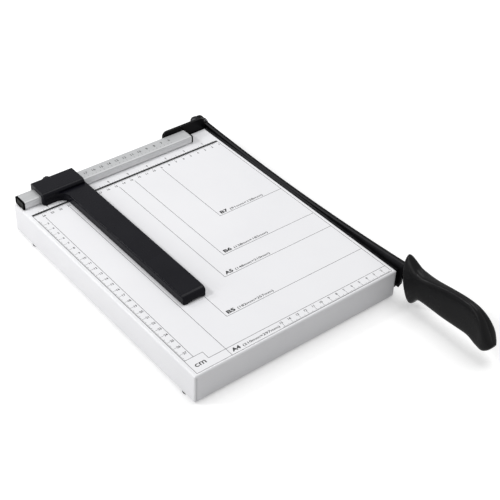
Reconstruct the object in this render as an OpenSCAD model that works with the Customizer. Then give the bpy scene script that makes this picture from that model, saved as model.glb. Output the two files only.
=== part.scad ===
// Guillotine paper trimmer for A4 sheets: folded steel base, aluminium rail with a sliding paper guide,
// and a curved blade on a hinged arm with a moulded handle. Drawn closed, in millimetres, +Z up,
// +X towards the blade, -Y towards the user.

/* [Base] */
// Width of the base, left to right
base_w = 252; // [200:1:360]
// Depth of the base, front to back
base_d = 322; // [260:1:420]
// Height of the folded base without its feet
base_h = 32; // [30:0.5:45]
// Thickness of the base's sheet steel
sheet_t = 1.2; // [0.8:0.1:2]
// Outer radius of the bends along the table's edges
bend_r = 2.5; // [2.2:0.1:5]
// Outer radius of the upright corners
corner_r = 2.2; // [2.2:0.1:8]
// Width of the flanges turned in under the left and right walls
flange_w = 15; // [14:0.5:25]
// Width of the flanges turned in under the front and back walls
hem_w = 8; // [4:0.5:15]

/* [Feet] */
// Diameter of a rubber foot
foot_d = 12; // [10:0.5:13]
// Height of a rubber foot under the base
foot_h = 2.5; // [1.5:0.1:6]
// Distance from the base's side to a foot's rim
foot_rim = 0.2; // [0:0.1:1.5]
// Distance of the front feet from the front wall
foot_front = 18; // [17:0.5:60]
// Distance of the back feet from the back wall
foot_back = 35; // [14:0.5:80]
// Diameter of the stem pushed through the flange
foot_stem_d = 5; // [3:0.1:6]

/* [Bed knife] */
// Thickness of the fixed knife along the table's right edge
bed_t = 3; // [2.5:0.1:5]
// Height of the fixed knife
bed_h = 20; // [17:0.5:22]
// How far the fixed knife stops short of the base's front and back
bed_end = 1; // [0:0.5:10]
// Number of screws in the fixed knife
bed_screws_n = 5; // [3:1:9]

/* [Rail] */
// Distance from the base's left side to the rail's left end
rail_left = 2.5; // [1:0.5:20]
// Distance from the base's right side to the rail's right end
rail_right = 29.2; // [5:0.1:60]
// Depth of the rail, front to back
rail_d = 17.5; // [14:0.1:30]
// Height of the rail above the table
rail_h = 9.5; // [8:0.1:16]
// Corner radius of the rail
rail_r = 2; // [1.8:0.1:3.5]
// Wall of the rail
rail_wall = 1.5; // [1:0.1:2]
// Thickness of an end cap
cap_t = 2; // [1:0.1:4]
// Length of the plug of an end cap inside the rail
plug_l = 6; // [3:0.5:12]
// Number of screws that hold the rail
rail_screws_n = 3; // [2:1:5]

/* [Paper guide] */
// Distance from the base's left side to the middle of the guide's saddle
guide_x = 49; // [36:0.5:130]
// Width of the saddle along the rail
guide_w = 50.5; // [40:0.5:70]
// Thickness of the saddle over the rail
guide_top_t = 4.8; // [2:0.1:8]
// Thickness of the saddle in front of the rail
guide_front_t = 5.6; // [3:0.1:10]
// Thickness of the saddle behind the rail
guide_back_t = 3.2; // [3:0.1:8]
// How far the saddle reaches down behind the table's edge
guide_drop = 2.5; // [1:0.1:8]
// Rounding of the saddle's front top edge
guide_front_r = 4; // [1:0.1:4.5]
// Width of the guide's arm
arm_w = 27.1; // [18:0.1:36]
// Length of the arm in front of the saddle
arm_l = 215; // [80:0.5:230]
// Height of the arm's top above the table
arm_h = 9.4; // [5:0.1:11]
// How far the arm's right side stands out past the saddle
arm_out = 1.7; // [0:0.1:10]
// Radius in the corner between the saddle and the arm
arm_fillet = 10; // [2:0.5:16]
// Rounding of the upper edge of the arm's tip
arm_tip_r = 7; // [1:0.1:8]
// Width of each foot beside the fingertip arch under the arm's tip
tip_foot_w = 4; // [2:0.1:8]
// Height of the fingertip arch
tip_arch_h = 2.3; // [0.5:0.1:3]
// How far the fingertip arch goes in from the tip
tip_arch_l = 6; // [2:0.5:20]
// Rounding of the upright corners of the arm's tip
arm_corner_r = 2.5; // [1:0.1:6]
// Rounding of the saddle's upright front left corner
guide_corner_r = 3; // [1:0.1:4.5]
// Diameter of the lock screw's knurled head
lock_head_d = 11; // [9:0.1:14]
// Length of the lock screw's knurled head
lock_head_l = 6.3; // [3:0.1:10]
// Diameter of the lock screw's thread
lock_d = 5; // [3:0.1:6]
// How far the lock screw sits left of the saddle's middle
lock_left = 3; // [0:0.1:12]

/* [Pivot bracket] */
// Thickness of the bracket's sheet steel
bracket_t = 3; // [2:0.1:4]
// Length of the plate along the back wall
plate_l = 61; // [50:0.5:65]
// Height of the plate's top above the table
plate_top = 14.5; // [8:0.5:24]
// Rounding of the plate's top corner at the fold
plate_r = 9; // [4:0.5:9]
// Rounding of the plate's free top corner
plate_left_r = 6; // [3:0.5:9]
// Distance of the pivot behind the back wall
pivot_back = 15.5; // [13:0.5:30]
// Depth of the pivot below the table's top
pivot_drop = 6; // [3:0.5:8]
// Radius of the bracket's ear
ear_r = 12; // [10:0.5:13]
// Outer radius of the fold between the plate and the ear
fold_r = 5; // [4.5:0.5:8]
// Diameter of the pivot bolt
pivot_d = 8; // [6:0.5:9]

/* [Blade and arm] */
// Radius of the arm's curved upper edge
curve_r = 2450; // [2000:10:3200]
// Distance from the base's front to the lowest point of the curve
curve_front = 202.5; // [170:0.5:230]
// Height of the arm bar
bar_h = 20; // [16:0.5:21]
// Thickness of the arm bar
bar_t = 2.8; // [2:0.1:5]
// Radius of the bar's eye round the pivot
eye_r = 11.5; // [9:0.1:12]
// Height of the blade
blade_h = 31; // [29:0.5:33]
// Thickness of the blade
blade_t = 2.2; // [1.5:0.1:4]
// Height of the ground bevel at the cutting edge
bevel_h = 6; // [2:0.5:8]
// Gap between the blade and the fixed knife
blade_gap = 0.25; // [0.2:0.05:0.5]
// How far the blade reaches past the base's front
blade_front = 4; // [1:0.5:5]
// Number of rivets between the blade and the bar
rivets_n = 6; // [3:1:10]

/* [Handle] */
// Distance from the base's front to the handle's guard
handle_gap = 6.6; // [6:0.1:15]
// Length of the handle
handle_l = 119; // [100:1:150]
// Thickness of the handle
handle_w = 18.8; // [16:0.2:26]
// Length of the tang inside the handle
tang_l = 88; // [70:1:95]
// Height of the tang
tang_h = 12; // [10:0.5:14]

/* [Hidden] */
$fn = 64;
eps = 0.01;
fine_fn = 1440;

// Clearances
run_gap = 0.05;
slide_gap = 0.3;
seat_gap = 0.02;
stop_gap = 0.3;

// Faces of the base, which is centred on X and Y before the whole part is moved to its origin
left_x = -base_w / 2;
right_x = base_w / 2;
front_y = -base_d / 2;
back_y = base_d / 2;
table_z = foot_h + base_h;
inner_z = table_z - sheet_t;
// Open seam beside each upright corner, where the folded walls meet
seam_w = 0.5;

// Fasteners
m4_r = 2;
m4_nut_r = 4;
m4_nut_t = 3.2;
m4_head_r = 3.5;
m4_head_t = 2.2;
m5_r = 2.5;
m5_nut_r = 4.6;
m5_nut_t = 4;
m5_head_r = 4.5;
m5_head_t = 2.8;
screw_tail = 1.2;

// Feet
foot_r = foot_d / 2;
foot_xs = [left_x + foot_rim + foot_r, right_x - foot_rim - foot_r];
foot_ys = [front_y + foot_front, back_y - foot_back];
foot_bead = 1;
foot_bead_r = foot_stem_d / 2 + foot_bead;
foot_bead_t = 1.6;

// Fixed knife
bed_l = base_d - 2 * bed_end;
bed_x1 = right_x + bed_t;
bed_screw_drop = 12;
bed_screw_z = table_z - bed_screw_drop;
bed_screw_margin = 22;
bed_screw_step = (bed_l - 2 * bed_screw_margin) / (bed_screws_n - 1);
bed_screw_ys = [for (i = [0:bed_screws_n - 1]) front_y + bed_end + bed_screw_margin + i * bed_screw_step];

// Rail
rail_x0 = left_x + rail_left + cap_t;
rail_x1 = right_x - rail_right - cap_t;
rail_l = rail_x1 - rail_x0;
rail_y0 = back_y - rail_d;
rail_mid_y = back_y - rail_d / 2;
cap_rim = 1.6;
cap_recess = 0.5;
rail_screw_margin = 30;
rail_screw_step = (rail_l - 2 * rail_screw_margin) / (rail_screws_n - 1);
rail_screw_xs = [for (i = [0:rail_screws_n - 1]) rail_x0 + rail_screw_margin + i * rail_screw_step];

// Paper guide
guide_x0 = left_x + guide_x - guide_w / 2;
guide_x1 = guide_x0 + guide_w;
guide_top_z = table_z + rail_h + slide_gap + guide_top_t;
guide_front_y = rail_y0 - slide_gap - guide_front_t;
guide_back_y = back_y + slide_gap + guide_back_t;
guide_back_r = 1.2;
arm_x1 = guide_x1 + arm_out;
arm_x0 = arm_x1 - arm_w;
arm_tip_y = guide_front_y - arm_l;
arm_edge_r = 2;
arm_low_z = table_z + slide_gap;
tip_arch_half = arm_w / 2 - tip_foot_w;
tip_arch_r = (tip_arch_half * tip_arch_half + tip_arch_h * tip_arch_h) / (2 * tip_arch_h);
lock_x = left_x + guide_x - lock_left;
lock_z = table_z + rail_h / 2;
insert_r = lock_d / 2 + 1.4;
lock_flutes = 14;
lock_flute_r = 0.7;
lock_flute_out = 0.3;
lock_collar_r = lock_head_d / 2 - 1.5;
lock_collar_l = 1;

// Stack of parts on the pivot, from the fixed knife outwards
blade_x0 = bed_x1 + blade_gap;
bar_x0 = blade_x0 + blade_t;
bar_x1 = bar_x0 + bar_t;
ear_x1 = bed_x1 - slide_gap;
ear_x0 = ear_x1 - bracket_t;
pivot_y = back_y + pivot_back;
pivot_z = table_z - pivot_drop;
pivot_r = pivot_d / 2;
bush_wall = 1.5;
bush_r = pivot_r + bush_wall;
bush_rim = 5;
bush_flange_r = pivot_r + bush_rim;
washer_rim = 6;
washer_r = pivot_r + washer_rim;
washer_dish = 1;
washer_t = 1.2;
head_rim = 2.5;
head_r = pivot_r + head_rim;
head_t = 4;
// Standard proportions of a socket and a nut to their bolt
socket_r = pivot_r * 0.75;
nut_r = pivot_r * 1.8;
nut_t = pivot_r * 1.6;

// Bracket plate
plate_x1 = ear_x1;
plate_x0 = plate_x1 - plate_l;
plate_low_z = pivot_z - ear_r;
plate_top_z = table_z + plate_top;
plate_low_r = 4;
plate_bolt_drop = 8;
plate_bolt_z = table_z - plate_bolt_drop;
plate_bolt_left = 11;
plate_bolt_right = 20;
plate_bolt_xs = [plate_x0 + plate_bolt_left, right_x - plate_bolt_right];

// Curve of the arm: centre of the arcs of the bar and the blade
curve_y = front_y + curve_front;
curve_z = table_z + curve_r;
function arc_z(y, depth) = curve_z - sqrt(pow(curve_r + depth, 2) - pow(y - curve_y, 2));

// Blade and bar
blade_y0 = front_y - blade_front;
blade_clear = 3;
blade_y1 = pivot_y - bush_flange_r - blade_clear;
blade_cut = 2.2;
bar_in_guard = 6;
edge_t = 0.3;
rivet_r = 2.4;
rivet_head_r = 4;
rivet_head_t = 1.5;
rivet_sink = 0.9;
rivet_margin = 18;
rivet_step = (blade_y1 - blade_y0 - 2 * rivet_margin) / (rivets_n - 1);
rivet_ys = [for (i = [0:rivets_n - 1]) blade_y0 + rivet_margin + i * rivet_step];

// Handle: share of the length, crest and belly above its datum, share of the half thickness,
// how square the upper half of the section is, from 1 for an ellipse towards 0 for a box,
// and the share of the thickness that is left at the crest
handle_stations = [
    [0, 14.6, -5.4, 0.5, 1.2, 1],
    [0.012, 20.4, -10.9, 0.74, 1.25, 1],
    [0.03, 22.5, -16.9, 0.94, 1.2, 0.95],
    [0.065, 20.2, -25.7, 1.04, 1, 0.88],
    [0.1, 16.6, -29.5, 1.06, 0.8, 0.84],
    [0.13, 13.8, -28.8, 1.06, 0.65, 0.82],
    [0.16, 12.4, -24.9, 1.065, 0.56, 0.8],
    [0.19, 11.8, -20.2, 1.065, 0.5, 0.78],
    [0.225, 11.6, -17.7, 1.065, 0.47, 0.73],
    [0.335, 13.4, -17.3, 1.065, 0.45, 0.55],
    [0.5, 16.9, -17.6, 1.065, 0.45, 0.45],
    [0.65, 18.7, -16.5, 1.065, 0.45, 0.46],
    [0.77, 17.6, -16, 1.065, 0.45, 0.53],
    [0.86, 11.6, -19.8, 1.05, 0.45, 0.74],
    [0.93, 1.8, -22.1, 1, 0.5, 0.96],
    [0.975, -6.6, -18.4, 0.75, 0.65, 1],
    [1, -11, -13.8, 0.42, 0.9, 1]];
handle_rings = 40;
handle_shares = [for (i = [0:handle_rings]) (1 - cos(180 * i / handle_rings)) / 2];
handle_sides = 28;
handle_square = 0.55;
// The lower half grows rounder from this share on to the end
butt_share = 0.86;
butt_round = 0.35;
guard_lean = 0.15;
guard_share = 0.25;
handle_x = (bar_x0 + bar_x1) / 2;
handle_y0 = front_y - handle_gap;
handle_y1 = handle_y0 - handle_l;
tang_mid_z = arc_z(handle_y0, bar_h / 2);
tang_y1 = handle_y0 - tang_l;
// The datum lies level with the table on the closed trimmer
handle_rise = 1.1;
handle_z = tang_mid_z + handle_rise;
handle_screw_shares = [0.28, 0.6, 0.9];
handle_screw_ys = [for (share = handle_screw_shares) handle_y0 - tang_l * share];
handle_screw_r = 1.75;
handle_head_r = 3.4;
handle_head_t = 2.2;
handle_head_depth = 5;
handle_seat_x = handle_x + handle_w / 2 - handle_head_depth;
handle_screw_l = 5;
handle_hole_spare = 0.5;

// Stop under the blade's front end
stop_r = 3;
stop_in = 8;
stop_y = front_y + stop_in;
stop_z = arc_z(stop_y, blade_h) - stop_gap - stop_r;
stop_past = 0.5;
stop_l = bar_x0 - right_x + stop_past;
stop_window = 0.6;

// Bounding box of the closed trimmer, whose bottom centre is the origin
handle_reach = max([for (s = handle_shares, p = handle_ring(s)) p.x]);
box_x = (left_x + handle_reach) / 2;
box_y = (handle_y1 + pivot_y + max(ear_r, eye_r)) / 2;

// Moves a piece from the base's middle to the part's origin
module placed() { translate([-box_x, -box_y, 0]) children(); }

// Extrudes an outline drawn in Y and Z along X
module along_x(x, l) { translate([x, 0, 0]) rotate([90, 0, 90]) linear_extrude(l) children(); }

// Extrudes an outline drawn in X and Z along Y
module along_y(y, l) { translate([0, y + l, 0]) rotate([90, 0, 0]) linear_extrude(l) children(); }

// Round bar along X, or along Y, from a starting point
module rod_x(p, r, l) { translate(p) rotate([0, 90, 0]) cylinder(r = r, h = l); }
module rod_y(p, r, l) { translate(p) rotate([-90, 0, 0]) cylinder(r = r, h = l); }

// Cone along X from radius r0 to radius r1
module cone_x(p, r0, r1, l) { translate(p) rotate([0, 90, 0]) cylinder(r1 = r0, r2 = r1, h = l); }

// Hexagonal nut along X or Y with a round bore
module nut_x(p, r, l, bore) {
    difference() {
        translate(p) rotate([0, 90, 0]) cylinder(r = r, h = l, $fn = 6);
        rod_x(p - [1, 0, 0], bore, l + 2);
    }
}
module nut_y(p, r, l, bore) {
    difference() {
        translate(p) rotate([-90, 0, 0]) cylinder(r = r, h = l, $fn = 6);
        rod_y(p - [0, 1, 0], bore, l + 2);
    }
}

// Rectangle from a low corner with its own radius at the low and the high corners
module round_box(p, size, r_low, r_high) {
    difference() {
        translate(p) square(size);
        for (side = [0, 1], top = [0, 1]) {
            r = top == 1 ? r_high : r_low;
            corner = p + [side * size[0], top * size[1]];
            inward = [1 - 2 * side, 1 - 2 * top];
            if (r > 0) corner_cut(corner, inward, r);
        }
    }
}

// What a rounded corner takes away from a square one
module corner_cut(corner, inward, r) {
    difference() {
        translate(corner + [min(0, inward[0]), min(0, inward[1])] * r - [1, 1] * eps)
            square(r + 2 * eps);
        translate(corner + inward * r) circle(r);
        translate(corner + [inward[0] > 0 ? r : -2 * r, -2 * r]) square([r, 4 * r]);
        translate(corner + [-2 * r, inward[1] > 0 ? r : -2 * r]) square([4 * r, r]);
    }
}

// Box with rounded upper edges and upright corners, standing on z, inset on every side
module pan_shape(inset, z, height) {
    w = base_w - 2 * inset;
    d = base_d - 2 * inset;
    r = bend_r - inset;
    intersection() {
        along_y(front_y + inset, d) round_box([-w / 2, z], [w, height], 0, r);
        along_x(-w / 2, w) round_box([-d / 2, z], [d, height], 0, r);
        translate([0, 0, z]) linear_extrude(height)
            round_box([-w / 2, -d / 2], [w, d], corner_r - inset, corner_r - inset);
    }
}

// Base: one folded sheet with flanges turned in at the bottom
module base_pan() color("whitesmoke") placed() difference() {
    union() {
        difference() {
            pan_shape(0, foot_h, base_h);
            pan_shape(sheet_t, foot_h - 1, base_h - sheet_t + 1);
        }
        intersection() {
            pan_shape(0, foot_h, base_h);
            translate([0, 0, foot_h]) linear_extrude(sheet_t) difference() {
                square([base_w, base_d], center = true);
                square([base_w - 2 * flange_w, base_d - 2 * hem_w], center = true);
            }
        }
    }
    for (x = foot_xs, y = foot_ys)
        translate([x, y, 0]) cylinder(r = foot_stem_d / 2 + seat_gap, h = foot_h + 2 * sheet_t);
    for (y = bed_screw_ys) rod_x([right_x - 2 * sheet_t, y, bed_screw_z], m4_r + seat_gap, 3 * sheet_t);
    for (x = rail_screw_xs)
        translate([x, rail_mid_y, inner_z - 1]) cylinder(r = m4_r + seat_gap, h = sheet_t + 2);
    for (x = plate_bolt_xs) rod_y([x, back_y - 2 * sheet_t, plate_bolt_z], m5_r + seat_gap, 3 * sheet_t);
    rod_x([right_x - 2 * sheet_t, stop_y, stop_z], m4_r + seat_gap, 3 * sheet_t);
    nut_window();
    corner_seams();
}

// Slits in the front and back walls, from the flange up to the bend
module corner_seams() {
    low = foot_h + sheet_t;
    for (x = [left_x + corner_r, right_x - corner_r - seam_w], y = [front_y, back_y - sheet_t])
        translate([x, y - 1, low]) cube([seam_w, sheet_t + 2, table_z - bend_r - low]);
}

// Window in the flange under the stop's nut, for a spanner
module nut_window() {
    reach = m4_nut_t + screw_tail + stop_window;
    half = m4_nut_r + stop_window;
    translate([right_x - sheet_t - reach, stop_y - half, foot_h - 1]) cube([reach, 2 * half, sheet_t + 2]);
}

// Push-in rubber feet: a pad, a stem through the flange and a bead above it
module rubber_feet() color("#1c1c1c") placed() for (x = foot_xs, y = foot_ys) translate([x, y, 0]) {
    cylinder(r = foot_r, h = foot_h);
    cylinder(r = foot_stem_d / 2, h = foot_h + sheet_t + foot_bead_t);
    translate([0, 0, foot_h + sheet_t]) cylinder(r1 = foot_bead_r, r2 = foot_stem_d / 2, h = foot_bead_t);
}

// Fixed knife flush with the table, with countersunk screw holes
module bed_knife() color("#2a2a2c") placed() difference() {
    translate([right_x, front_y + bed_end, table_z - bed_h]) cube([bed_t, bed_l, bed_h]);
    for (y = bed_screw_ys) {
        rod_x([right_x - 1, y, bed_screw_z], m4_r + seat_gap, bed_t + 2);
        cone_x([bed_x1 - m4_head_t, y, bed_screw_z], m4_r + seat_gap, m4_head_r + seat_gap, m4_head_t);
        rod_x([bed_x1, y, bed_screw_z], m4_head_r + seat_gap, 1);
    }
}

module bed_screws() color("silver") placed() for (y = bed_screw_ys) {
    tail = right_x - sheet_t - m4_nut_t - screw_tail;
    rod_x([tail, y, bed_screw_z], m4_r, bed_x1 - tail - m4_head_t);
    cone_x([bed_x1 - m4_head_t, y, bed_screw_z], m4_r, m4_head_r - run_gap, m4_head_t - seat_gap);
}

module bed_nuts() color("silver") placed() for (y = bed_screw_ys)
    nut_x([right_x - sheet_t - m4_nut_t, y, bed_screw_z], m4_nut_r, m4_nut_t, m4_r + seat_gap);

// Aluminium rail: a hollow extrusion on the back of the table
module rail() color("#c4c6c8") placed() difference() {
    along_x(rail_x0, rail_l) rail_outline(0);
    along_x(rail_x0 - 1, rail_l + 2) rail_outline(rail_wall);
    for (x = rail_screw_xs)
        translate([x, rail_mid_y, table_z - 1]) cylinder(r = m4_r + seat_gap, h = rail_wall + 2);
}

module rail_outline(inset)
    round_box([rail_y0 + inset, table_z + inset], [rail_d - 2 * inset, rail_h - 2 * inset],
        rail_r - inset, rail_r - inset);

// Plastic end caps, each with a rim outside and a plug that fits the rail's hollow
module rail_cap_left() color("#161616") placed() {
    difference() {
        along_x(rail_x0 - cap_t, cap_t) rail_outline(0);
        along_x(rail_x0 - cap_t - 1, 1 + cap_recess) rail_outline(cap_rim);
    }
    along_x(rail_x0 - eps, plug_l) rail_outline(rail_wall + run_gap);
}

module rail_cap_right() color("#161616") placed() {
    difference() {
        along_x(rail_x1, cap_t) rail_outline(0);
        along_x(rail_x1 + cap_t - cap_recess, 1 + cap_recess) rail_outline(cap_rim);
    }
    along_x(rail_x1 - plug_l + eps, plug_l) rail_outline(rail_wall + run_gap);
}

module rail_screws() color("silver") placed() for (x = rail_screw_xs) translate([x, rail_mid_y, 0]) {
    translate([0, 0, inner_z - m4_head_t]) cylinder(r = m4_head_r, h = m4_head_t);
    translate([0, 0, inner_z - eps]) cylinder(r = m4_r, h = sheet_t + rail_wall + screw_tail);
}

// Paper guide: a saddle that slides on the rail and an arm square to the fence
module paper_guide() color("#26262a") placed() difference() {
    union() {
        along_x(guide_x0, guide_w) saddle_outline();
        intersection() {
            along_y(arm_tip_y, rail_y0 - slide_gap - arm_tip_y) arm_outline();
            along_x(arm_x0 - 1, arm_w + 2) arm_side_outline();
            translate([0, 0, arm_low_z - 1]) linear_extrude(arm_h + 2) arm_plan();
        }
        translate([0, 0, arm_low_z]) linear_extrude(arm_h - slide_gap) corner_fill();
    }
    rod_y([lock_x, back_y, lock_z], insert_r + seat_gap, slide_gap + guide_back_t + 1);
    rod_y([(arm_x0 + arm_x1) / 2, arm_tip_y - 1, arm_low_z + tip_arch_h - tip_arch_r], tip_arch_r, tip_arch_l + 1);
    translate([0, 0, arm_low_z - 1]) linear_extrude(guide_top_z - arm_low_z + 2)
        corner_cut([guide_x0, guide_front_y], [1, 1], guide_corner_r);
}

// Saddle seen from the side: front skirt, top and back skirt round the rail
module saddle_outline() difference() {
    union() {
        round_box([guide_front_y, arm_low_z],
            [guide_back_y - guide_front_y, guide_top_z - arm_low_z], 0, guide_back_r);
        translate([back_y + slide_gap, table_z - guide_drop]) square([guide_back_t, guide_drop + arm_h]);
    }
    translate([rail_y0 - slide_gap, table_z - guide_drop - 1])
        square([rail_d + 2 * slide_gap, guide_drop + 1 + rail_h + slide_gap]);
    corner_cut([guide_front_y, guide_top_z], [1, -1], guide_front_r);
}

// Arm seen along its length, with a round upper left edge
module arm_outline() difference() {
    translate([arm_x0, arm_low_z]) square([arm_w, arm_h - slide_gap]);
    corner_cut([arm_x0, table_z + arm_h], [1, -1], arm_edge_r);
}

// Arm seen from the side, with a round upper edge at its tip
module arm_side_outline() difference() {
    translate([arm_tip_y, arm_low_z]) square([rail_y0 - slide_gap - arm_tip_y, arm_h - slide_gap]);
    corner_cut([arm_tip_y, table_z + arm_h], [1, -1], arm_tip_r);
}

// Arm seen from above, with round corners at its tip
module arm_plan() difference() {
    translate([arm_x0, arm_tip_y]) square([arm_w, rail_y0 - slide_gap - arm_tip_y]);
    corner_cut([arm_x0, arm_tip_y], [1, 1], arm_corner_r);
    corner_cut([arm_x1, arm_tip_y], [-1, 1], arm_corner_r);
}

// Plan of the rounded inner corner between the saddle and the arm
module corner_fill() difference() {
    translate([arm_x0 - arm_fillet, guide_front_y - arm_fillet])
        square([arm_fillet + arm_edge_r, arm_fillet + guide_front_r]);
    translate([arm_x0 - arm_fillet, guide_front_y - arm_fillet]) circle(arm_fillet);
}

// Threaded insert in the saddle's back skirt
module guide_insert() color("#b08d57") placed() difference() {
    rod_y([lock_x, back_y + slide_gap, lock_z], insert_r, guide_back_t);
    rod_y([lock_x, back_y, lock_z], lock_d / 2 + run_gap, guide_back_t + 2);
}

// Lock screw: a fluted head and a shank that presses on the back of the rail
module lock_screw() color("#1b1b1d") placed() {
    head_y = guide_back_y + slide_gap + lock_collar_l;
    rod_y([lock_x, back_y + run_gap, lock_z], lock_d / 2, head_y - back_y - run_gap + eps);
    rod_y([lock_x, guide_back_y + slide_gap, lock_z], lock_collar_r, lock_collar_l + eps);
    difference() {
        rod_y([lock_x, head_y, lock_z], lock_head_d / 2, lock_head_l);
        for (i = [0:lock_flutes - 1])
            translate([lock_x, 0, lock_z]) rotate([0, i * 360 / lock_flutes, 0])
                rod_y([lock_head_d / 2 + lock_flute_out, head_y - 1, 0], lock_flute_r, lock_head_l + 2);
    }
}

// Bracket: a plate on the back wall, folded back into an ear that carries the pivot
module pivot_bracket() color("#1d1d1f") placed() difference() {
    union() {
        along_y(back_y, bracket_t) difference() {
            translate([plate_x0, plate_low_z]) square([plate_l, plate_top_z - plate_low_z]);
            corner_cut([plate_x0, plate_low_z], [1, 1], plate_low_r);
            corner_cut([plate_x0, plate_top_z], [1, -1], plate_left_r);
            corner_cut([ear_x1, plate_top_z], [-1, -1], plate_r);
        }
        along_x(ear_x0, bracket_t) {
            translate([back_y, plate_low_z]) square([pivot_back, 2 * ear_r]);
            translate([pivot_y, pivot_z]) circle(ear_r);
        }
        translate([0, 0, plate_low_z]) linear_extrude(2 * ear_r)
            corner_cut([ear_x0, back_y + bracket_t], [-1, 1], fold_r - bracket_t);
    }
    translate([0, 0, plate_low_z - 1]) linear_extrude(plate_top_z - plate_low_z + 2)
        corner_cut([ear_x1, back_y], [-1, 1], fold_r);
    rod_x([ear_x0 - 1, pivot_y, pivot_z], pivot_r + run_gap, bracket_t + 2);
    for (x = plate_bolt_xs) rod_y([x, back_y - 1, plate_bolt_z], m5_r + seat_gap, bracket_t + 2);
}

module bracket_bolts() color("#3a3a3c") placed() for (x = plate_bolt_xs) {
    tail = back_y - sheet_t - m5_nut_t - screw_tail;
    rod_y([x, tail, plate_bolt_z], m5_r, back_y + bracket_t - tail + eps);
    rod_y([x, back_y + bracket_t, plate_bolt_z], m5_head_r, m5_head_t);
}

module bracket_nuts() color("silver") placed() for (x = plate_bolt_xs)
    nut_y([x, back_y - sheet_t - m5_nut_t, plate_bolt_z], m5_nut_r, m5_nut_t, m5_r + seat_gap);

// Pivot bolt with a low socket head on the outside
module pivot_bolt() color("#4a4a4c") placed() difference() {
    head_x = bar_x1 + run_gap + washer_t;
    tail = ear_x0 - washer_t - nut_t - screw_tail;
    union() {
        rod_x([tail, pivot_y, pivot_z], pivot_r, head_x - tail + eps);
        rod_x([head_x, pivot_y, pivot_z], head_r, head_t);
    }
    translate([head_x + head_t / 2, pivot_y, pivot_z]) rotate([0, 90, 0])
        cylinder(r = socket_r, h = head_t, $fn = 6);
}

// Flanged bush pressed into the bar's eye; its flange runs on the ear
module pivot_bush() color("#a8834a") placed() difference() {
    union() {
        rod_x([ear_x1 + run_gap, pivot_y, pivot_z], bush_flange_r, bar_x0 - ear_x1 - run_gap);
        rod_x([bar_x0 - eps, pivot_y, pivot_z], bush_r, bar_t + eps);
    }
    rod_x([ear_x1, pivot_y, pivot_z], pivot_r + run_gap, bar_x1 - ear_x1 + 1);
}

module outer_washer() color("silver") placed() difference() {
    rod_x([bar_x1 + run_gap, pivot_y, pivot_z], washer_r, washer_t);
    rod_x([bar_x1, pivot_y, pivot_z], pivot_r + run_gap, washer_t + 1);
}

// Dished spring washer between the ear and the nut
module spring_washer() color("silver") placed() difference() {
    cone_x([ear_x0 - washer_t, pivot_y, pivot_z], washer_r - washer_dish, washer_r, washer_t);
    rod_x([ear_x0 - washer_t - 1, pivot_y, pivot_z], pivot_r + run_gap, washer_t + 2);
}

module pivot_nut() color("silver") placed()
    nut_x([ear_x0 - washer_t - nut_t, pivot_y, pivot_z], nut_r, nut_t, pivot_r + seat_gap);

// Arm bar: a curved flat with an eye at the pivot and a tang in the handle
module arm_bar() color("#1d1d1f") placed() difference() {
    along_x(bar_x0, bar_t) bar_outline(0);
    rod_x([bar_x0 - 1, pivot_y, pivot_z], bush_r + seat_gap, bar_t + 2);
    for (y = rivet_ys) rod_x([bar_x0 - 1, y, arc_z(y, bar_h / 2)], rivet_r + seat_gap, bar_t + 2);
    for (y = handle_screw_ys) rod_x([bar_x0 - 1, y, tang_mid_z], handle_screw_r + run_gap, bar_t + 2);
}

// Bar seen from the side, grown by a clearance where it enters the handle
module bar_outline(grow) {
    intersection() {
        curved_band(0 - grow, bar_h + grow);
        translate([handle_y0 - bar_in_guard - grow, 0])
            square([pivot_y - handle_y0 + bar_in_guard + grow, curve_r]);
    }
    translate([pivot_y, pivot_z]) circle(eye_r);
    translate([tang_y1 - grow, tang_mid_z - tang_h / 2 - grow])
        square([handle_y0 - tang_y1 + grow, tang_h + 2 * grow]);
}

// Ring between two depths below the arm's curved upper edge
module curved_band(depth0, depth1) translate([curve_y, curve_z]) difference() {
    circle(curve_r + depth1, $fn = fine_fn);
    circle(curve_r + depth0, $fn = fine_fn);
}

// Blade: a curved plate with a bevel on its outer side
module blade() color("#2b2b2d") placed() difference() {
    intersection() {
        translate([blade_x0, curve_y, curve_z]) rotate([0, 90, 0]) rotate_extrude($fn = fine_fn) polygon([
            [curve_r, 0],
            [curve_r + blade_h, 0],
            [curve_r + blade_h, edge_t],
            [curve_r + blade_h - bevel_h, blade_t],
            [curve_r, blade_t]]);
        along_x(blade_x0 - 1, blade_t + 2) blade_end_outline();
    }
    for (y = rivet_ys) {
        rod_x([blade_x0 - 1, y, arc_z(y, bar_h / 2)], rivet_r + seat_gap, blade_t + 2);
        cone_x([blade_x0, y, arc_z(y, bar_h / 2)], rivet_r + rivet_sink, rivet_r, rivet_sink);
    }
}

// Region that cuts the blade to length, with its lower front corner taken off
module blade_end_outline() polygon([
    [blade_y1, 0],
    [blade_y0 + blade_cut, 0],
    [blade_y0 + blade_cut, arc_z(blade_y0, blade_h)],
    [blade_y0, arc_z(blade_y0, blade_h - bevel_h)],
    [blade_y0, curve_z],
    [blade_y1, curve_z]]);

// Rivets: sunk flush in the blade, domed on the bar
module blade_rivets() color("#2a2a2c") placed() for (y = rivet_ys) {
    z = arc_z(y, bar_h / 2);
    cone_x([blade_x0, y, z], rivet_r + rivet_sink - seat_gap, rivet_r - seat_gap, rivet_sink);
    rod_x([blade_x0, y, z], rivet_r, blade_t + bar_t + eps);
    cone_x([bar_x1, y, z], rivet_head_r, rivet_r, rivet_head_t);
}

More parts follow.
